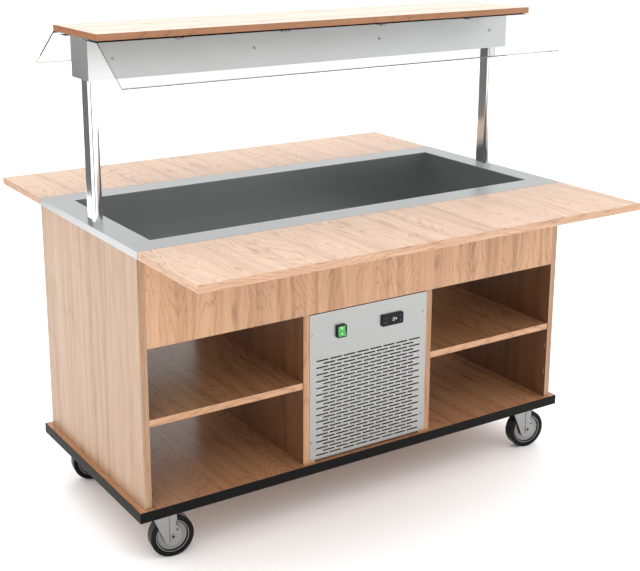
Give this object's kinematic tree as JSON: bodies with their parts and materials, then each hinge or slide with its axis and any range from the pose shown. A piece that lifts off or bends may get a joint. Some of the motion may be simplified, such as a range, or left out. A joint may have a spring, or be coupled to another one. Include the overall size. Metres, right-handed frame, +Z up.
{
  "type": "mobile salad bar",
  "caption": "Wheeled salad bar: sunk cold well in a steel top, fold-down tray wings, lit glass hood on two posts, open shelf bays and a vented machine bay.",
  "frame": {"origin": "on the floor under the middle of the bar", "axes": "+X along the bar to the right as seen from the side with the controls, +Y from that front side to the back, +Z up"},
  "size_m": [1.502, 1.328, 1.436],
  "materials": {
    "edging": "satin black edge band",
    "panel_laminate": "light wood laminate",
    "apron_laminate": "warm wood laminate",
    "shelf_laminate": "wood laminate",
    "wing_laminate": "pale wood laminate",
    "hood_laminate": "pale wood laminate",
    "top_steel": "satin stainless steel",
    "post_steel": "satin stainless steel",
    "vent_steel": "satin stainless steel",
    "fastener_steel": "bright zinc",
    "bracket_steel": "zinc plated",
    "tray_steel": "zinc plated",
    "lamp_box_paint": "satin",
    "lamp_diffuser": "opal",
    "pane_glass": "clear safety glass",
    "control_black": "black moulded",
    "key_grey": "grey moulded",
    "rocker_green": "translucent green",
    "gland_black": "black moulded",
    "drain_plastic": "grey moulded",
    "foam": "rigid foam",
    "copper": "bare copper",
    "compressor_black": "satin black",
    "fin_aluminium": "mill finish",
    "motor_metal": "satin grey",
    "fan_plastic": "black moulded",
    "caster_zinc": "bright zinc",
    "fork_zinc": "bright zinc",
    "rim_zinc": "bright zinc",
    "wheel_rubber": "solid black rubber"
  },
  "bodies": {
    "cabinet": {"base_edging": "edging", "left_end_panel": "panel_laminate", "right_end_panel": "panel_laminate", "left_divider": "panel_laminate", "right_divider": "panel_laminate", "base_board": "panel_laminate", "front_apron": "apron_laminate", "rear_apron": "apron_laminate", "left_shelf": "shelf_laminate", "right_shelf": "shelf_laminate", "hood_board": "hood_laminate", "steel_top": "top_steel", "well_tub": "top_steel", "hood_posts": "post_steel", "front_vent_panel": "vent_steel", "rear_vent_panel": "vent_steel", "pan_head_screws": "fastener_steel", "m8_bolts": "fastener_steel", "shelf_pins": "fastener_steel", "glass_clamps": "fastener_steel", "bracket_plates": "bracket_steel", "machine_tray": "tray_steel", "light_box": "lamp_box_paint", "led_lamp": "lamp_diffuser", "front_glass": "pane_glass", "rear_glass": "pane_glass", "thermostat_housing": "control_black", "switch_frame": "control_black", "cable_gland": "gland_black", "drain_pipe": "drain_plastic", "well_insulation": "foam", "refrigerant_circuit": "copper", "compressor": "compressor_black", "condenser": "fin_aluminium", "fan_motor": "motor_metal", "caster_plates": "caster_zinc"},
    "front_wing": {"front_wing": "wing_laminate", "front_wing_arms": "bracket_steel"},
    "rear_wing": {"rear_wing": "wing_laminate", "rear_wing_arms": "bracket_steel"},
    "front_struts": {"front_struts": "bracket_steel"},
    "rear_struts": {"rear_struts": "bracket_steel"},
    "switch_rocker": {"switch_rocker": "rocker_green"},
    "fan_rotor": {"fan_rotor": "fan_plastic"},
    "key_set": {"thermostat_key_set": "key_grey"},
    "key_power": {"thermostat_key_power": "key_grey"},
    "key_up": {"thermostat_key_up": "key_grey"},
    "key_down": {"thermostat_key_down": "key_grey"},
    "front_left_caster": {"front_left_fork": "fork_zinc"},
    "front_left_wheel": {"front_left_rim": "rim_zinc", "front_left_tyre": "wheel_rubber"},
    "front_right_caster": {"front_right_fork": "fork_zinc"},
    "front_right_wheel": {"front_right_rim": "rim_zinc", "front_right_tyre": "wheel_rubber"},
    "rear_left_caster": {"rear_left_fork": "fork_zinc"},
    "rear_left_wheel": {"rear_left_rim": "rim_zinc", "rear_left_tyre": "wheel_rubber"},
    "rear_right_caster": {"rear_right_fork": "fork_zinc"},
    "rear_right_wheel": {"rear_right_rim": "rim_zinc", "rear_right_tyre": "wheel_rubber"}
  },
  "joints": [
    {"name": "front_wing_fold", "type": "hinge", "parent": "cabinet", "child": "front_wing", "pos_m": [0, -0.343, 0.874], "axis": [1, 0, 0], "range_deg": [0, 90]},
    {"name": "front_strut_swing", "type": "hinge", "parent": "cabinet", "child": "front_struts", "pos_m": [0, -0.343, 0.784], "axis": [1, 0, 0], "range_deg": [0, 127]},
    {"name": "rear_wing_fold", "type": "hinge", "parent": "cabinet", "child": "rear_wing", "pos_m": [0, 0.343, 0.874], "axis": [-1, 0, 0], "range_deg": [0, 90]},
    {"name": "rear_strut_swing", "type": "hinge", "parent": "cabinet", "child": "rear_struts", "pos_m": [0, 0.343, 0.784], "axis": [-1, 0, 0], "range_deg": [0, 127]},
    {"name": "front_left_swivel", "type": "hinge", "parent": "cabinet", "child": "front_left_caster", "pos_m": [-0.655, -0.276, 0.14], "axis": [0, 0, 1], "continuous": true},
    {"name": "front_left_roll", "type": "hinge", "parent": "front_left_caster", "child": "front_left_wheel", "pos_m": [-0.63123, -0.27934, 0.0625], "axis": [0.1392, 0.9903, 0], "continuous": true},
    {"name": "front_right_swivel", "type": "hinge", "parent": "cabinet", "child": "front_right_caster", "pos_m": [0.655, -0.276, 0.14], "axis": [0, 0, 1], "continuous": true},
    {"name": "front_right_roll", "type": "hinge", "parent": "front_right_caster", "child": "front_right_wheel", "pos_m": [0.67877, -0.27934, 0.0625], "axis": [0.1392, 0.9903, 0], "continuous": true},
    {"name": "rear_left_swivel", "type": "hinge", "parent": "cabinet", "child": "rear_left_caster", "pos_m": [-0.655, 0.276, 0.14], "axis": [0, 0, 1], "continuous": true},
    {"name": "rear_left_roll", "type": "hinge", "parent": "rear_left_caster", "child": "rear_left_wheel", "pos_m": [-0.63123, 0.27266, 0.0625], "axis": [0.1392, 0.9903, 0], "continuous": true},
    {"name": "rear_right_swivel", "type": "hinge", "parent": "cabinet", "child": "rear_right_caster", "pos_m": [0.655, 0.276, 0.14], "axis": [0, 0, 1], "continuous": true},
    {"name": "rear_right_roll", "type": "hinge", "parent": "rear_right_caster", "child": "rear_right_wheel", "pos_m": [0.67877, 0.27266, 0.0625], "axis": [0.1392, 0.9903, 0], "continuous": true},
    {"name": "rocker_tip", "type": "hinge", "parent": "cabinet", "child": "switch_rocker", "pos_m": [-0.102, -0.337, 0.573], "axis": [1, 0, 0], "range_deg": [0, 18]},
    {"name": "key_set_press", "type": "slide", "parent": "cabinet", "child": "key_set", "axis": [0, 1, 0], "range_m": [0, 0.0005], "stiffness_N_per_m": 800},
    {"name": "key_power_press", "type": "slide", "parent": "cabinet", "child": "key_power", "axis": [0, 1, 0], "range_m": [0, 0.0005], "stiffness_N_per_m": 800},
    {"name": "key_up_press", "type": "slide", "parent": "cabinet", "child": "key_up", "axis": [0, 1, 0], "range_m": [0, 0.0005], "stiffness_N_per_m": 800},
    {"name": "key_down_press", "type": "slide", "parent": "cabinet", "child": "key_down", "axis": [0, 1, 0], "range_m": [0, 0.0005], "stiffness_N_per_m": 800},
    {"name": "fan_spin", "type": "hinge", "parent": "cabinet", "child": "fan_rotor", "pos_m": [0, -0.1785, 0.312], "axis": [0, 1, 0], "continuous": true}
  ],
  "couplings": [
    {"joint": "front_strut_swing", "follows": "front_wing_fold", "ratio": 1.4097},
    {"joint": "rear_strut_swing", "follows": "rear_wing_fold", "ratio": 1.4097}
  ]
}
